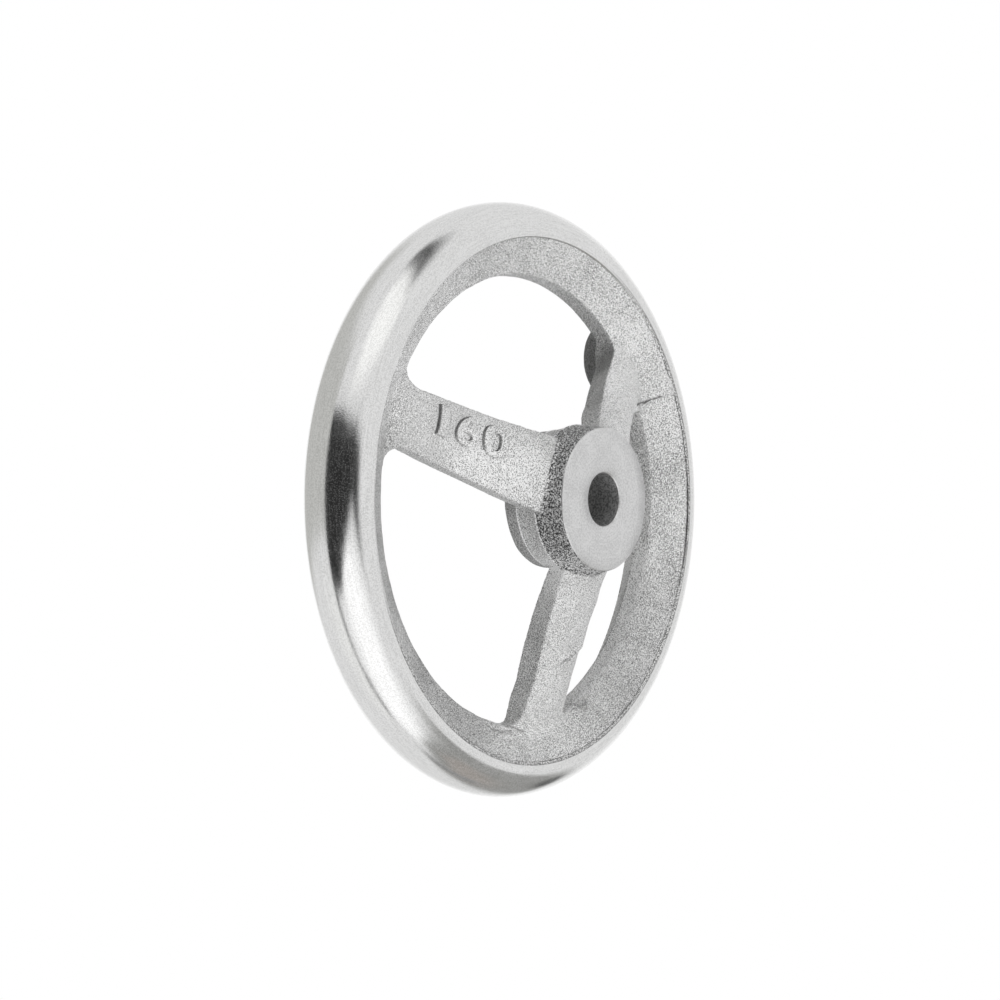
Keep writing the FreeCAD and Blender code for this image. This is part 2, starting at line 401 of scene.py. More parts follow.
def makePolishedMaterial():
    # Fine scratches run round the rim, so the pattern is stretched along its length
    material, tree, shader, place = newMaterial("polished_aluminium")
    look = polishLook
    radius, height = fromAxis(tree, place)
    across = calc(tree, "ARCTAN2", height, calc(tree, "SUBTRACT", radius, rimShape["centre"] / mm))
    parts = addNode(tree, "ShaderNodeSeparateXYZ", {0: place}).outputs
    stretched = addNode(tree, "ShaderNodeCombineXYZ", {
        "X": times(tree, parts["X"], look["scratchStretch"]),
        "Y": times(tree, across, rimShape["section"] / mm),
        "Z": times(tree, parts["Z"], look["scratchStretch"]),
    }).outputs[0]
    scratches = grain(tree, stretched, look["scratch"], detail=3, roughness=0.6)
    haze = grain(tree, place, look["haze"], detail=2)
    specks = grain(tree, place, look["speck"])
    mixed = times(tree, specks, look["speckShare"])
    mixed = times(tree, scratches, 1 - look["speckShare"], plus=mixed)
    colour = blended(tree, between(tree, mixed, *look["contrast"]), look["dull"], look["colour"])
    # Painted shade along the polished edge, spotted on the shoulder and the land, left out at the upper
    # left
    fromEdge = calc(tree, "SUBTRACT", radius, (wheel["radius"] - rimShape["edgeDepth"]) / mm)
    paintedShading = between(tree, fromEdge, *look["shoulderOuter"])
    paintedShading = times(tree, paintedShading, between(tree, fromEdge, *look["shoulderInner"]))
    spotted = between(tree, specks, *look["shoulderSpecks"], 0.0, look["edgeShade"])
    paintedShading = times(tree, paintedShading, spotted)
    spotted = between(tree, specks, *look["landSpecks"], 0.0, look["edgeShade"])
    onLand = times(tree, between(tree, fromEdge, *look["land"]), spotted)
    paintedShading = calc(tree, "MAXIMUM", paintedShading, onLand)
    lower = times(tree, parts["X"], look["unshadedTilt"])
    lower = calc(tree, "SUBTRACT", lower, parts["Z"])
    paintedShading = times(tree, paintedShading, between(tree, lower, *look["unshadedFade"]))
    shadedEdgeColour = [shade * look["edgeShadeTone"] for shade in look["dull"][:3]] + [1]
    relief = bumped(tree, scratches, look["scratchDepth"])
    feed(tree, shader, {
        "Base Color": blended(tree, paintedShading, colour, shadedEdgeColour),
        "Metallic": between(tree, mixed, *look["satin"], *look["satinMetallic"]),
        "Roughness": between(tree, haze, *noiseMain, *look["roughness"]),
        "Normal": bumped(tree, specks, look["speckDepth"], relief),
    })
    return material


machinedLook = {
    "colour": (0.92, 0.92, 0.92, 1),
    "dull": (0.70, 0.70, 0.70, 1),
    "contrast": (0.38, 0.60),
    "bore": (0.46, 0.46, 0.46, 1),
    "boreDull": (0.22, 0.22, 0.22, 1),
    "boreContrast": (0.34, 0.66),
    "boreRoughness": 0.35,
    "mouth": 0.15,
    "roughness": (0.32, 0.44),
    "stain": 5,
    "ring": 0.45,
    "ringDepth": 0.03 * mm,
    "ringTilt": 1.7,        # how fast the rings follow one another along the bore
    "speck": 0.5,
    # Shares of specks, rings and stains in the colour
    "shares": (0.45, 0.30, 0.25),
}


def makeMachinedMaterial():
    # Turning marks: rings round the axis on the faces and round the bore
    material, tree, shader, place = newMaterial("machined_aluminium")
    look = machinedLook
    radius, height = fromAxis(tree, place)
    along = times(tree, height, look["ringTilt"], plus=radius)
    lathe = addNode(tree, "ShaderNodeCombineXYZ", {"X": along}).outputs[0]
    rings = grain(tree, lathe, look["ring"], detail=3, roughness=0.7)
    stains = grain(tree, place, look["stain"], detail=3, roughness=0.6)
    specks = grain(tree, place, look["speck"])
    mixed = 0.0
    for pattern, share in zip((specks, rings, stains), look["shares"]):
        mixed = times(tree, pattern, share, plus=mixed)
    colour = blended(tree, between(tree, mixed, *look["contrast"]), look["dull"], look["colour"])
    bore = blended(tree, between(tree, specks, *look["boreContrast"]), look["boreDull"], look["bore"])
    mouth = hubShape["boreRadius"] / mm
    inBore = between(tree, radius, mouth + look["mouth"], mouth)
    rough = between(tree, stains, *noiseMain, *look["roughness"])
    feed(tree, shader, {
        "Base Color": blended(tree, inBore, colour, bore),
        "Metallic": 1,
        "Roughness": times(tree, inBore, look["boreRoughness"], plus=rough),
        "Normal": bumped(tree, rings, look["ringDepth"]),
    })
    return material


# Turned forms: an outline of radius and height, swept round the axis by Geometry Nodes

def makeTurningTree():
    inputs = {"Outline": "Object", "Path radius": "Float", "Segments": "Int", "Finish": "Material"}
    tree, given = newTree("turning", inputs)
    outline = addNode(tree, "GeometryNodeObjectInfo", {"Object": given["Outline"]})
    inputs = {"Resolution": given["Segments"], "Radius": given["Path radius"]}
    path = addNode(tree, "GeometryNodeCurvePrimitiveCircle", inputs)
    inputs = {"Curve": path.outputs["Curve"], "Profile Curve": outline.outputs["Geometry"]}
    swept = addNode(tree, "GeometryNodeCurveToMesh", inputs)
    inputs = {"Geometry": swept.outputs["Mesh"], "Rotation": (-math.pi / 2, 0, 0)}
    inputs["Translation"] = (0, middleY, 0)
    upright = addNode(tree, "GeometryNodeTransform", inputs)
    finishTree(tree, upright.outputs[0], given["Finish"])
    return tree


turningTree = makeTurningTree()


def turned(name, outline, segments, material):
    # The outline goes round counterclockwise, with radius to the right and height upwards
    pathRadius = 50 * mm
    curve = bpy.data.curves.new(name + "_outline", "CURVE")
    curve.dimensions = "3D"
    spline = curve.splines.new("POLY")
    spline.points.add(len(outline) - 1)
    for point, (radius, height) in zip(spline.points, outline):
        point.co = (radius - pathRadius, height, 0, 1)
    spline.use_cyclic_u = True
    guide = newObject(name + "_outline", curve)
    worker = newObject(name + "_worker", bpy.data.meshes.new(name))
    values = {"Outline": guide, "Path radius": pathRadius, "Segments": segments, "Finish": material}
    addTree(worker, turningTree, values)
    made = settle(worker, name)
    bpy.data.objects.remove(guide)
    return made


def arcPoints(centre, radius, start, end, count):
    # Points on an arc, by angle in degrees, both ends included
    angles = [math.radians(start + (end - start) * k / (count - 1)) for k in range(count)]
    return [(centre[0] + radius * math.cos(a), centre[1] + radius * math.sin(a)) for a in angles]


# Polished rim

rimShape = {
    "section": 11 * mm,
    "shoulder": 53,     # where the round section ends, in degrees
    "edgeDepth": 9.1 * mm,
    "edgeDrop": 0.6 * mm,
    "edgeRadius": 0.3 * mm,
    "edgeSteps": (0.3, 0.6),
    "lipDepth": 19.9 * mm,
    "lipBack": 4.1 * mm,
    "lipFront": -0.5 * mm,
    "land": 0.45 * mm,
    "proud": 0.14 * mm,
    "sunk": 0.6 * mm,
    "tuck": 0.1 * mm,
    "roundPoints": 54,
    "shoulderPoints": 16,
    "segments": 360,
}
rimShape["centre"] = wheel["radius"] - rimShape["section"]


def rimOutline():
    shape = rimShape
    centre = (shape["centre"], 0)
    edge = Vector((wheel["radius"] - shape["edgeDepth"], shape["section"] - shape["edgeDrop"]))
    # The tighter shoulder leaves the round section smoothly and ends at the crisp edge
    turn = math.radians(shape["shoulder"])
    outward = Vector((math.cos(turn), math.sin(turn)))
    start = Vector(centre) + outward * shape["section"]
    chord = edge - start
    radius = -chord.length_squared / (2 * chord.dot(outward))
    middle = start - outward * radius
    last = math.degrees(math.atan2(edge.y - middle.y, edge.x - middle.x))
    last -= math.degrees(shape["edgeRadius"] / radius)
    lipX = wheel["radius"] - shape["lipDepth"]
    half = []
    for side, lip in ((1, shape["lipBack"]), (-1, shape["lipFront"])):
        slope = Vector((lipX - edge.x, side * lip - edge.y)).normalized()
        normal = Vector((slope.y, -slope.x))
        if normal.y < 0:
            normal = -normal
        points = arcPoints(middle, radius, shape["shoulder"], last, shape["shoulderPoints"])[1:]
        # The edge is rounded onto a narrow land, which turns in under the cast slope
        first = edge + slope * shape["edgeRadius"] + normal * shape["proud"]
        second = edge + slope * (shape["edgeRadius"] + shape["land"]) + normal * shape["proud"]
        under = second + slope * shape["tuck"] - normal * shape["sunk"]
        before = Vector(points[-1])
        for step in shape["edgeSteps"]:
            mixed = before.lerp(edge, step) * (1 - step) + edge.lerp(first, step) * step
            points.append(tuple(mixed))
        points += [tuple(first), tuple(second), tuple(under)]
        half.append([(x, side * y) for x, y in points])
    main = arcPoints(centre, shape["section"], -shape["shoulder"], shape["shoulder"], shape["roundPoints"])
    return main + half[0] + half[1][::-1]


# Machined face, bore and nose

hubShape = {
    "faceRadius": 19 * mm,
    "boreRadius": 7 * mm,
    "boreChamfer": 0.5 * mm,
    "edgeBreak": 0.25 * mm,
    "proud": 0.03 * mm,
    "flange": 0.6 * mm,
    "wall": 0.9 * mm,
    "noseRadius": 17.4 * mm,
    "segments": 256,
    # Heights and radii of the seams that the mould's halves leave round the hub
    "parting": 22.9 * mm,
    "partingRadius": 19.75 * mm,
    "foot": 16.0 * mm,
    "footRadius": 18.4 * mm,
    "seamRise": 0.22 * mm,
    "seamWidth": 0.60 * mm,
    "seamRoot": 0.5 * mm,
    "seamCrown": (0.8, 0.4),    # its height and width where it rounds over, as shares
    # Painted highlight: the seams get less than no shade, so they are brighter than the skin
    "seamHighlight": -0.55,          # less than none: the seams are brighter than the skin
}


def hubOutline():
    shape = hubShape
    top = wheel["hubBack"] + shape["proud"]
    foot = hubNose - shape["proud"]
    bore = shape["boreRadius"] - shape["proud"]
    chamfer = shape["boreChamfer"]
    outer = bore + shape["wall"]
    breakEdge = shape["edgeBreak"]
    face = shape["faceRadius"] + shape["proud"]
    nose = shape["noseRadius"]
    return [
        (bore, foot + chamfer),
        (bore + chamfer, foot),
        (nose - breakEdge, foot),
        (nose, foot + breakEdge),
        (nose - breakEdge, foot + shape["flange"]),
        (outer, foot + shape["flange"]),
        (outer, top - shape["flange"]),
        (face - breakEdge, top - shape["flange"]),
        (face, top - breakEdge),
        (face - breakEdge, top),
        (bore + chamfer, top),
        (bore, top - chamfer),
    ]


# Casting: the solid's own form, less its polished and machined skins, with a cast surface

castShape = {
    "doubles": 0.002 * mm,
    "voxel": 0.45 * mm,
    "smooth": 2,
    "smoothShare": 0.5,
    "kept": 0.42,
    # What the rim's and the hub's skins cover is trimmed off
    "inset": 0.3 * mm,
    "hubClear": 22 * mm,
    "rimClear": 15 * mm,
    "coneFrom": 40 * mm,
    "waveSize": 9 * mm,
    "waveDepth": 0.10 * mm,
    "dimpleSize": 2.4 * mm,
    "dimpleDepth": 0.045 * mm,
    "seed": 7.0,
    # Walls lie along the axis: how far the surface faces along it, more freely on the front
    "wallFacing": (0.62, 0.42),
    "wallFrontShare": 0.62,
}


def mergedCasting():
    mesh = casting.data.copy()
    work = bmesh.new()
    work.from_mesh(mesh)
    bmesh.ops.remove_doubles(work, verts=work.verts, dist=castShape["doubles"])
    work.to_mesh(mesh)
    work.free()
    mesh.materials.clear()
    return newObject("casting_worker", mesh)


def trimOutline():
    # Everything of the casting that shows, less what the rim's and the hub's skins cover
    shape = castShape
    nose = hubNose + shape["inset"]
    back = wheel["hubBack"] - shape["inset"]
    bore = hubShape["boreRadius"] + shape["inset"]
    rim = wheel["radius"] - rimShape["edgeDepth"] - shape["inset"]
    return [
        (bore, nose),
        (shape["hubClear"], nose),
        (shape["hubClear"], -shape["rimClear"]),
        (rim, -shape["rimClear"]),
        (rim, shape["rimClear"]),
        (shape["coneFrom"], back),
        (bore, back),
    ]


def makeSkinTree(sizes):
    # Pushes the surface in and out along its normals, as sand casting leaves it. A noise keeps
    # within about a quarter of its middle, so four times that fills the depth.
    inputs = {"Casting": "Geometry", **dict.fromkeys(sizes, "Float"), "Finish": "Material"}
    tree, given = newTree("cast_skin", inputs)
    moves = []
    for kind in ("Wave", "Dimple"):
        scale = calc(tree, "DIVIDE", 1.0, given[kind + " size"])
        inputs = {"W": given["Seed"], "Scale": scale, "Detail": 1.0}
        noise = addNode(tree, "ShaderNodeTexNoise", inputs, noise_dimensions="4D")
        centred = calc(tree, "SUBTRACT", noise.outputs[0], 0.5)
        depth = times(tree, given[kind + " depth"], 4.0)
        moves.append(times(tree, centred, depth))
    normal = addNode(tree, "GeometryNodeInputNormal").outputs[0]
    offset = calcVector(tree, "SCALE", normal, scale=calc(tree, "ADD", *moves))
    moved = addNode(tree, "GeometryNodeSetPosition", {"Geometry": given["Casting"], "Offset": offset})
    finishTree(tree, moved.outputs[0], given["Finish"])
    return tree


# This casting's own marks, in mm: along a spoke from the axis, aside of its middle (positive is
# counterclockwise) and height. A reach is from, to and aside. Four numbers say where a change
# starts, is full, fades and ends.

marks = {
    "backFacing": -0.35,
    # The first spoke's front edge is cut back on one side, and its foot is filled on the other,
    # stepped up beyond a line and ending in a crease
    "first": {
        "reach": (24, 70, 22),
        "ridgeEnd": 60.0,
        "cutBack": 1.9,
        "cutAlong": (23, 36, 50, 58),
        "cutAside": (3, 6),
        "cutBelow": (3, 9),
        "fill": 3.6,
        "fillAt": (57.0, -10.0),
        "fillWidth": 5.0,
        "fillTo": (0.62, 0.78),
        "step": ((60.0, -12.0), (66.8, -14.6)),
        "stepFade": (-0.6, 0.5),
        "stepAlong": (50, 59, 65.5, 70),
        "stepRise": 0.012,
        "crease": ((55.0, -9.2), (58.8, -11.6), (61.1, -12.6), (63.6, -13.5)),
        "creaseDepth": 0.9,
        "creaseWidth": 0.6,
    },
    # The lower spoke's foot is wider and rippled on one side, with a square corner on the other
    "foot": {
        "reach": (46, 68, 26),
        "widen": 1.9,
        "widenAlong": (47, 54, 56, 60),
        "widenAside": (-2, -6, -14, -22),
        "corner": 1.9,
        "cornerAt": (57.2, 10.0),
        "cornerWidth": 3.2,
        "cornerTo": (0.8, -0.6),
        "ripples": (
            ((58.0, -23.7), (59.6, -20.1), (60.5, -14.5)),
            ((58.7, -15.8), (59.7, -12.8), (61.3, -10.1)),
        ),
        "groove": (0.4, 0.45),      # depth and width
        "ridge": (0.5, 0.9, 0.5),   # share of the depth, distance and width
    },
    # Higher up it is wider down to a nick, with a short crease beside it
    "nick": {
        "reach": (22, 56, 11),
        "widen": 1.6,
        "at": 41.6,
        "lean": 0.12,
        "leanFrom": 6,
        "fade": (0.7, -0.4),
        "start": (23, 30),
        "fuller": (34, 41),
        "startShares": (0.7, 0.3),
        "end": (50, 44),
        "endShares": (0.25, 0.75),
        "side": (1.5, 6),
        "crease": ((41.0, 6.2), (42.6, 2.0), (44.4, -1.6)),
        "groove": (0.7, 0.5),
        "ridge": (0.6, 1.1, 0.6),
    },
    # Creases with painted shade: the spoke, how dark, then points along, aside and height
    "shadeLines": (
        (0, 1.0, ((54.6, -9.3, 7.9), (57.2, -10.7, 7.0), (59.6, -12.0, 6.7))),
        (0, 0.9, ((59.6, -12.0, 6.7), (61.6, -12.6, 7.6), (64.0, -13.4, 8.8))),
        (2, 0.40, ((39.8, -0.4, 16.4), (41.4, 1.9, 15.3), (43.2, 2.9, 14.6))),
        (2, 0.50, ((44.4, -1.4, 13.6), (43.4, 1.0, 14.3), (43.9, 2.3, 14.5))),
        (2, 0.40, ((41.6, 3.9, 14.8), (42.6, 4.6, 14.3))),
        (2, 0.42, ((58.6, 14.6, 3.5), (59.6, 17.5, 5.2), (59.3, 19.6, 5.5), (58.2, 20.2, 5.0))),
        (2, 0.50, ((56.6, -25.6, 5.2), (58.0, -23.7, 5.6), (59.6, -20.1, 5.8), (60.5, -14.5, 5.2))),
        (2, 0.55, ((58.7, -15.8, 4.4), (59.7, -12.8, 4.8), (61.3, -10.1, 5.4))),
    ),
    "shadeWidth": (0.42, 0.126),
    "shadeHeights": 0.15,
    "shadeWaver": 1.1,
    "shadeWavers": 0.9,
}


def spokeTurn(spoke):
    return math.radians(wheel["firstSpoke"] + 360 / wheel["spokes"] * spoke)


def spokePlace(point, spoke):
    # Along, aside and height of a point, in mm
    turn = spokeTurn(spoke)
    along = (point.x * math.cos(turn) + point.z * math.sin(turn)) / mm
    aside = (point.z * math.cos(turn) - point.x * math.sin(turn)) / mm
    return along, aside, (middleY - point.y) / mm


def wheelPlace(along, aside, height, spoke):
    turn = spokeTurn(spoke)
    x = along * math.cos(turn) - aside * math.sin(turn)
    z = along * math.sin(turn) + aside * math.cos(turn)
    return Vector((x * mm, middleY - height * mm, z * mm))


def toLine(along, aside, line):
    # Distance to a line of points
    best = 1e9
    for (a, b), (c, d) in zip(line, line[1:]):
        length = (c - a) ** 2 + (d - b) ** 2
        share = min(max(((along - a) * (c - a) + (aside - b) * (d - b)) / length, 0), 1)
        best = min(best, math.hypot(along - a - share * (c - a), aside - b - share * (d - b)))
    return best


def within(value, start, full, fading, end):
    return eased(value, start, full) * eased(value, end, fading)


def near(gap, width):
    # 1 on the spot, falling away smoothly
    return math.exp(-(gap / width) ** 2)


def grooved(height, gap, mark):
    # A groove with a low ridge beside it
    depth, width = mark["groove"]
    share, ridgeAt, ridgeWidth = mark["ridge"]
    height -= depth * near(gap, width)
    return height + depth * share * near(gap - ridgeAt, ridgeWidth)


def markFirst(mark, along, aside, height, back):
    below = ridgeHeight(min(along, mark["ridgeEnd"])) - height
    share = within(along, *mark["cutAlong"]) * eased(aside, *mark["cutAside"])
    aside -= mark["cutBack"] * share * eased(below, *mark["cutBelow"])
    gap = math.hypot(along - mark["fillAt"][0], aside - mark["fillAt"][1])
    push = mark["fill"] * near(gap, mark["fillWidth"])
    if back and aside < 0:
        (a, b), (c, d) = mark["step"]
        gap = aside - (b + (along - a) * (d - b) / (c - a))
        rise = mark["stepRise"] * aside * aside * eased(gap, *mark["stepFade"])
        height += rise * within(along, *mark["stepAlong"])
    along -= push * mark["fillTo"][0]
    aside -= push * mark["fillTo"][1]
    if back and aside < 0:
        gap = toLine(along, aside, mark["crease"])
        height -= mark["creaseDepth"] * near(gap, mark["creaseWidth"])
    return along, aside, height


def markFoot(mark, along, aside, height, back):
    if back and aside < 0:
        for ripple in mark["ripples"]:
            height = grooved(height, toLine(along, aside, ripple), mark)
    gap = math.hypot(along - mark["cornerAt"][0], aside - mark["cornerAt"][1])
    start, full, fading, end = mark["widenAside"]
    share = within(along, *mark["widenAlong"]) * eased(aside, start, full)
    aside -= mark["widen"] * share * eased(aside, end, fading)
    push = mark["corner"] * near(gap, mark["cornerWidth"])
    return along + push * mark["cornerTo"][0], aside + push * mark["cornerTo"][1], height


def markNick(mark, along, aside, height, back):
    edge = mark["at"] + mark["lean"] * (mark["leanFrom"] - aside)
    least, more = mark["startShares"]
    share = eased(along, *mark["start"]) * (least + more * eased(along, *mark["fuller"]))
    least, more = mark["endShares"]
    ending = eased(along, *(edge + step for step in mark["fade"]))
    share *= least * eased(along, *mark["end"]) + more * ending
    aside += mark["widen"] * share * eased(aside, *mark["side"])
    if back:
        height = grooved(height, toLine(along, aside, mark["crease"]), mark)
    return along, aside, height


def markCasting(mesh):
    # The normals are taken once, before any point moves
    backs = [vertex.normal.y < marks["backFacing"] for vertex in mesh.vertices]
    for vertex, back in zip(mesh.vertices, backs):
        for spoke, changes in ((0, {"first": markFirst}), (2, {"foot": markFoot, "nick": markNick})):
            place = spokePlace(vertex.co, spoke)
            for name, change in changes.items():
                start, end, side = marks[name]["reach"]
                if start < place[0] < end and abs(place[1]) < side:
                    place = change(marks[name], *place, back)
                    vertex.co = wheelPlace(*place, spoke)


def makeCasting(material):
    shape = castShape
    worker = mergedCasting()
    trimmer = turned("trimmer", trimOutline(), hubShape["segments"], None)
    trim = worker.modifiers.new("trim", "BOOLEAN")
    trim.operation = "INTERSECT"
    trim.solver = "EXACT"
    trim.object = trimmer
    remesh = worker.modifiers.new("remesh", "REMESH")
    remesh.mode = "VOXEL"
    remesh.voxel_size = shape["voxel"]
    smooth = worker.modifiers.new("smooth", "SMOOTH")
    smooth.factor = shape["smoothShare"]
    smooth.iterations = shape["smooth"]
    worker = settle(worker, "casting_marked")
    markCasting(worker.data)
    sizes = {
        "Wave size": shape["waveSize"],
        "Wave depth": shape["waveDepth"],
        "Dimple size": shape["dimpleSize"],
        "Dimple depth": shape["dimpleDepth"],
        "Seed": shape["seed"],
    }
    addTree(worker, makeSkinTree(sizes), {**sizes, "Finish": material})
    thin = worker.modifiers.new("thin", "DECIMATE")
    thin.ratio = shape["kept"]
    made = settle(worker, "cast_body")
    bpy.data.objects.remove(trimmer)
    # Walls are told from the faces between them by their direction
    facing = [vertex.normal.y for vertex in made.data.vertices]
    facing = [max(-y, shape["wallFrontShare"] * y) for y in facing]
    addPointValues(made.data, "wall", [eased(value, *shape["wallFacing"]) for value in facing])
    return made


def makeSeams(material):
    shape = hubShape
    half = shape["seamWidth"] / 2
    rise = shape["seamRise"]
    upper, outer = shape["seamCrown"]
    side = [(-shape["seamRoot"], half), (0, half), (rise * upper, half * outer)]
    seams = []
    for name, height, radius in (
        ("parting_seam", shape["parting"], shape["partingRadius"]),
        ("foot_seam", shape["foot"], shape["footRadius"]),
    ):
        outline = [(radius + x, height - y) for x, y in side] + [(radius + rise, height)]
        outline += [(radius + x, height + y) for x, y in reversed(side)]
        seam = turned(name, outline, shape["segments"], material)
        # A painted highlight along each seam
        addPointValues(seam.data, "paintedShading", [shape["seamHighlight"]] * len(seam.data.vertices))
        seams.append(seam)
    return seams


# Raised figures on the left spoke, cast with the wheel

figures = {
    "text": "160",
    "size": 11.6 * mm,
    "spacing": 1.14,
    "widen": 1.12,
    "bolden": 0.30 * mm,
    "bevel": 0.22 * mm,
    "bevelSteps": 2,
    "voxel": 0.15 * mm,
    "smooth": 2,
    # The first figure is broader than the typeface's, stands nearer to the second and has
    # hardly any foot
    "firstEnd": -3.6 * mm,
    "firstMiddle": -6.2 * mm,
    "firstShift": 1.0 * mm,
    "firstWiden": 1.5,
    "stemHalf": 1 * mm,
    "footFrom": 2.0 * mm,
    "footShare": 0.12,
    "spoke": 1,
    "radius": 42.2 * mm,
    "aside": 1.7 * mm,
    "asideSign": -1,            # on this spoke upwards is clockwise
    "rise": 0.85 * mm,
    "sunk": 0.4 * mm,
    "castFrom": 60,             # a height well above the spoke, in mm
    # Painted shade on the walls: everywhere, on the upper left, on the right, and on the first figure
    "wallFacing": (0.74, 0.99),
    "shadeAll": 0.30,
    "shadeUpperLeft": 0.70,
    "upperLeft": (-0.8, 0.6),
    "shadeRight": 0.45,
    "shadeOnFirst": 1.15,
    "shadeOnFirstFoot": -0.6,
}


# Painted shade on a figure's walls, stronger where they face the upper left and the right
def figureWallShade(vertex):
    shape = figures
    x, y, up = vertex.normal
    left, upper = shape["upperLeft"]
    share = shape["shadeAll"] + shape["shadeUpperLeft"] * max(left * x + upper * y, 0)
    share += shape["shadeRight"] * max(x, 0)
    if vertex.co.x < shape["firstEnd"]:
        share *= shape["shadeOnFirst"] + shape["shadeOnFirstFoot"] * max(-y, 0)
    return (1 - eased(abs(up), *shape["wallFacing"])) * min(share, 1)


def shapeFirst(x, y, stem):
    # Widens the first figure and takes its foot in
    if y < -figures["footFrom"]:
        inStem = min(max(x, stem[0]), stem[1])
        x = inStem + (x - inStem) * figures["footShare"]
    x = figures["firstMiddle"] + (x - figures["firstMiddle"]) * figures["firstWiden"]
    return x + figures["firstShift"]


def makeFigures(body, material):
    # Flat solid figures first, then each point is carried onto the crown of the spoke
    shape = figures
    text = bpy.data.curves.new("figures", "FONT")
    text.body = shape["text"]
    text.size = shape["size"]
    text.space_character = shape["spacing"]
    text.align_x = "CENTER"
    text.align_y = "CENTER"
    text.extrude = (shape["rise"] + shape["sunk"]) / 2 - shape["bevel"]
    text.offset = shape["bolden"] - shape["bevel"]
    text.bevel_depth = shape["bevel"]
    text.bevel_resolution = shape["bevelSteps"]
    flat = settle(newObject("figures_worker", text), "figures_flat")
    remesh = flat.modifiers.new("remesh", "REMESH")
    remesh.mode = "VOXEL"
    remesh.voxel_size = shape["voxel"]
    smooth = flat.modifiers.new("smooth", "SMOOTH")
    smooth.iterations = shape["smooth"]
    made = settle(flat, "raised_figures")
    mesh = made.data
    # Painted shade on the figures' walls
    addPointValues(mesh, "paintedShading", [figureWallShade(vertex) for vertex in mesh.vertices])
    surface = BVHTree.FromObject(body, bpy.context.evaluated_depsgraph_get())
    shift = (shape["rise"] - shape["sunk"]) / 2
    first = [vertex.co for vertex in mesh.vertices if vertex.co.x < shape["firstEnd"]]
    stem = [place.x for place in first if abs(place.y) < shape["stemHalf"]]
    stem = (min(stem), max(stem))
    for vertex in mesh.vertices:
        x, y, up = vertex.co
        if x < shape["firstEnd"]:
            x = shapeFirst(x, y, stem)
        along = (shape["radius"] - x * shape["widen"]) / mm
        aside = (shape["aside"] + y) / mm * shape["asideSign"]
        place = wheelPlace(along, aside, shape["castFrom"], shape["spoke"])
        hit = surface.ray_cast(place, Vector((0, 1, 0)))[0]
        vertex.co = hit + Vector((0, -1, 0)) * (up + shift)
    mesh.materials.append(material)
    for face in mesh.polygons:
        face.use_smooth = True
    if isInsideOut(mesh):
        mesh.flip_normals()
    return made


def isInsideOut(mesh):
    # A closed mesh that faces inwards has a negative volume
    work = bmesh.new()
    work.from_mesh(mesh)
    volume = work.calc_volume(signed=True)
    work.free()
    return volume < 0


castMaterial = makeCastMaterial()
polishedMaterial = makePolishedMaterial()
machinedMaterial = makeMachinedMaterial()

castBody = makeCasting(castMaterial)
print("casting", len(castBody.data.polygons))
polishedRim = turned("polished_rim", rimOutline(), rimShape["segments"], polishedMaterial)
print("rim", len(polishedRim.data.polygons))
machinedHub = turned("machined_hub", hubOutline(), hubShape["segments"], machinedMaterial)
print("hub", len(machinedHub.data.polygons))
raisedFigures = makeFigures(castBody, castMaterial)
print("figures", len(raisedFigures.data.polygons))
partingSeam, footSeam = makeSeams(castMaterial)
print("seams", len(partingSeam.data.polygons))

for piece, slotName in (
    (castBody, "cast_aluminium"),
    (polishedRim, "polished_aluminium"),
    (machinedHub, "machined_aluminium"),
    (raisedFigures, "cast_aluminium"),
    (partingSeam, "cast_aluminium"),
    (footSeam, "cast_aluminium"),
):
    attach(piece, "root")
    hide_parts("handwheel")


# Studio: a white floor, and soft bright and dark zones that the metal mirrors

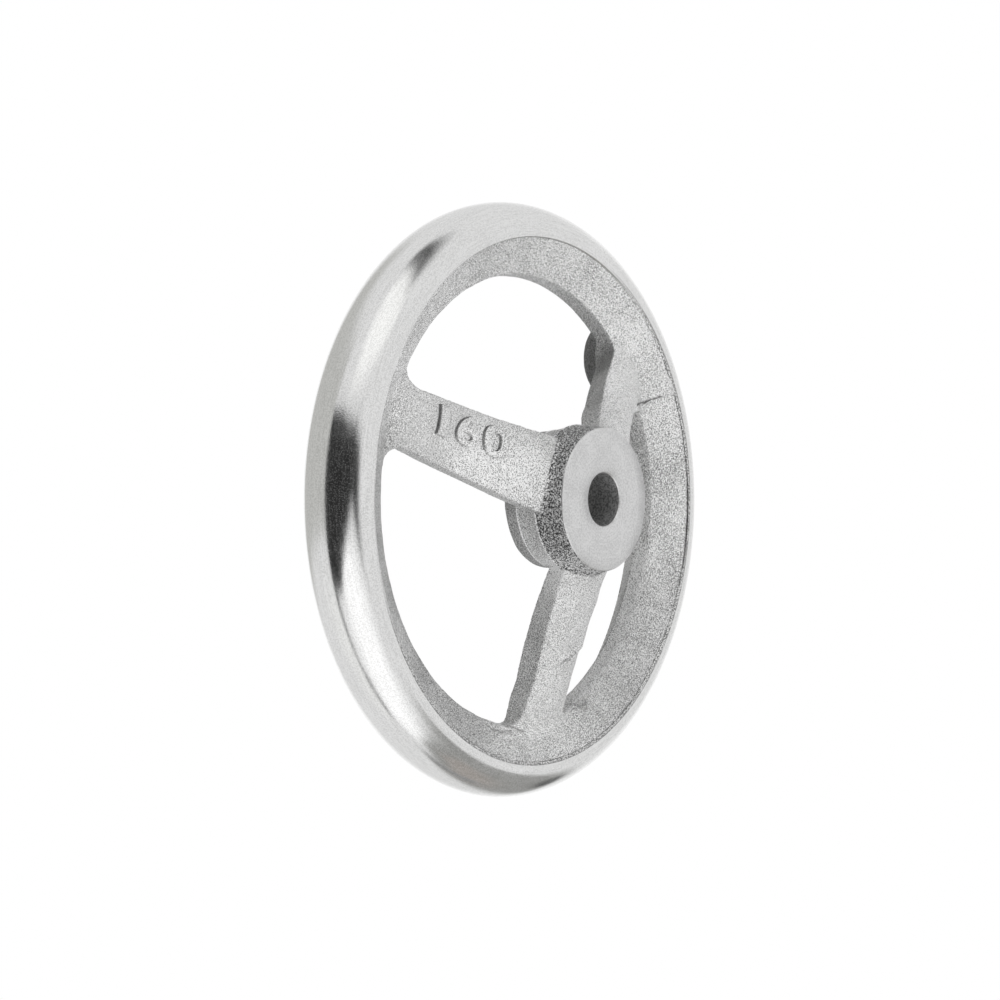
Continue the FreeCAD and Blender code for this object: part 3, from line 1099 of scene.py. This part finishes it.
studio = {
    "plain": (0.72, 0.72, 0.72, 1),
    # What lights the rough metal: a broad soft light from the machine's side, over a faint fill
    "frontLight": 1.37,
    "frontFrom": (-0.199, -0.962, -0.190),
    "fill": 0.190,
    # Each zone is bounded by soft edges: a point on the edge as azimuth and elevation, the side
    # that the zone lies on as an angle, and the softness, all in degrees. Azimuth 0 is -Y, 90 is
    # +X. A later zone covers the earlier ones.
    "zones": {
        "side wall": {"light": 0.50, "tint": (1, 1, 0.97), "middle": -160, "edges": (
            (-210, 0, 0, 10), (-112, 0, 180, 2), (-160, -10, 90, 5), (-160, 52, -90, 12))},
        "bright wall": {"light": 0.98, "middle": 130, "edges": (
            (98, 0, 0, 20), (154, 0, 180, 5), (130, -24, 90, 14), (130, 20, -90, 14))},
        "upper light": {"light": 0.96, "tint": (1, 1, 0.99), "middle": -35, "edges": (
            (-72, 0, 0, 14), (0, 0, 180, 8), (-35, 38, 90, 8), (-35, 80, -90, 8))},
        "lower light": {"light": 1.07, "middle": -45, "edges": (
            (-86, 0, 0, 30), (-14, -36, -133, 20), (-45, -12, -90, 7), (-45, -84, 90, 5))},
        "dark side": {"light": 0.022, "middle": -70, "edges": (
            (-112, 0, 0, 2), (-37, 0, 180, 1), (-60, 26, -102, 3), (-85, 31, -88, 3),
            (-63, -16.5, 122, 3), (-90, -32, 90, 4))},
        "dark corner": {"light": 0.035, "middle": -25, "edges": (
            (-38, 0, 0, 1), (-17, 0, 180, 10), (-26, 15, -118, 4), (-27, -8.5, 54, 4))},
        "side glow": {"light": 0.80, "tint": (1, 1, 0.99), "middle": -130, "edges": (
            (-150, 0, 0, 20), (-112, 0, 180, 2), (-130, -28, -90, 12), (-130, -80, 90, 8))},
        "side gap": {"light": 0.20, "middle": -108, "edges": (
            (-112, 0, 0, 1.5), (-105, 0, 180, 2), (-108, -30, -90, 4), (-108, -66, 90, 4))},
        "side gap foot": {"light": 0.26, "middle": -108, "edges": (
            (-116, 0, 0, 3), (-98, 0, 180, 4), (-108, -62, -90, 3), (-108, -84, 90, 3))},
        "top gap": {"light": 0.085, "middle": 60, "edges": (
            (4, 0, 0, 8), (30, 62, 105, 9), (160, 0, 180, 40))},
        "low patch": {"light": 0.30, "tint": (1, 1, 0.97), "middle": 65, "edges": (
            (23, 0, 0, 12), (118, 0, 180, 8), (65, -28, -90, 3), (65, -77, 90, 6))},
        "low patch foot": {"light": 0.34, "tint": (1, 0.93, 0.87), "middle": 75, "edges": (
            (45, 0, 0, 6), (110, 0, 180, 6), (75, -50, -90, 6), (75, -68, 90, 4))},
        "far gap": {"light": 0.27, "middle": 98, "edges": (
            (92, 0, 0, 3), (108, 0, 180, 3), (98, -54, -90, 4), (98, -82, 90, 3))},
        "black spot": {"light": 0.04, "middle": 98, "edges": (
            (88, 0, 0, 6), (104, 0, 180, 2), (98, -29, -90, 2), (98, -35, 90, 3))},
    },
}


def makeSurroundings():
    world = bpy.data.worlds.new("studio")
    bpy.context.scene.world = world
    world.use_nodes = True
    tree = world.node_tree
    tree.nodes.clear()
    place = addNode(tree, "ShaderNodeTexCoord").outputs["Generated"]
    parts = addNode(tree, "ShaderNodeSeparateXYZ", {0: place}).outputs
    turn = calc(tree, "ARCTAN2", parts["X"], times(tree, parts["Y"], -1.0))
    turn = times(tree, turn, 180 / math.pi)
    rise = times(tree, calc(tree, "ARCSINE", parts["Z"]), 180 / math.pi)
    colour = studio["plain"]
    for zone in studio["zones"].values():
        aside = calc(tree, "WRAP", calc(tree, "SUBTRACT", turn, zone["middle"]), 180, -180)
        share = 1.0
        for azimuth, elevation, side, soft in zone["edges"]:
            across, upwards = math.cos(math.radians(side)), math.sin(math.radians(side))
            start = -(azimuth - zone["middle"]) * across - elevation * upwards
            inside = times(tree, aside, across, plus=start)
            inside = times(tree, rise, upwards, plus=inside)
            share = times(tree, share, between(tree, inside, -soft, soft))
        glow = [zone["light"] * tint for tint in zone.get("tint", (1, 1, 1))] + [1]
        colour = blended(tree, share, colour, glow)
    zones = addNode(tree, "ShaderNodeBackground", {"Color": colour})
    facing = calcVector(tree, "DOT_PRODUCT", place, studio["frontFrom"])
    facing = calc(tree, "MAXIMUM", facing, 0.0)
    glow = times(tree, facing, studio["frontLight"], plus=studio["fill"])
    front = addNode(tree, "ShaderNodeBackground", {"Color": (1, 1, 1, 1), "Strength": glow})
    plain = addNode(tree, "ShaderNodeBackground", {"Color": (1, 1, 1, 1)})
    # Rough metal sees the front light, polished metal the zones, and the camera plain white
    path = addNode(tree, "ShaderNodeLightPath").outputs
    inputs = {0: path["Is Diffuse Ray"], 1: zones.outputs[0], 2: front.outputs[0]}
    mixed = addNode(tree, "ShaderNodeMixShader", inputs)
    inputs = {0: path["Is Camera Ray"], 1: mixed.outputs[0], 2: plain.outputs[0]}
    mixed = addNode(tree, "ShaderNodeMixShader", inputs)
    addNode(tree, "ShaderNodeOutputWorld", {"Surface": mixed.outputs[0]})


floorShape = {"half": 3.0, "drop": 0.5 * mm}


def makeFloor():
    half = floorShape["half"]
    level = boxLow.z - floorShape["drop"]
    mesh = bpy.data.meshes.new("floor")
    corners = [(-half, -half, level), (half, -half, level), (half, half, level), (-half, half, level)]
    mesh.from_pydata(corners, [], [(0, 1, 2, 3)])
    floor = newObject("floor", mesh)
    material = bpy.data.materials.new("floor_white")
    material.use_nodes = True
    tree = material.node_tree
    tree.nodes.clear()
    glow = addNode(tree, "ShaderNodeEmission", {"Color": (1, 1, 1, 1)})
    addNode(tree, "ShaderNodeOutputMaterial", {"Surface": glow.outputs[0]})
    mesh.materials.append(material)
    floor.visible_diffuse = False
    floor.visible_glossy = False
    floor.visible_shadow = False


# Camera, from the wheel's outline in the photograph

cameraPlace = {
    "focal": 140.9,
    "sensor": 36.0,
    "azimuth": -52.89,
    "right": -2.507 * mm,
    "up": -0.137 * mm,
    "back": 1054.47 * mm,
    "clip": (0.05, 50),
}


def makeCamera():
    turn = math.radians(cameraPlace["azimuth"])
    back = Vector((math.sin(turn), -math.cos(turn), 0))
    up = Vector((0, 0, 1))
    right = up.cross(back)
    data = bpy.data.cameras.new("camera")
    data.lens = cameraPlace["focal"]
    data.sensor_width = cameraPlace["sensor"]
    data.clip_start, data.clip_end = cameraPlace["clip"]
    camera = newObject("camera", data)
    place = Vector((0, middleY, 0))
    place += right * cameraPlace["right"] + up * cameraPlace["up"] + back * cameraPlace["back"]
    camera.location = place
    camera.rotation_mode = "QUATERNION"
    camera.rotation_quaternion = (-back).to_track_quat("-Z", "Y")
    bpy.context.scene.camera = camera


makeSurroundings()
makeFloor()
makeCamera()
bpy.context.scene.view_settings.view_transform = "Standard"
print("studio ready")
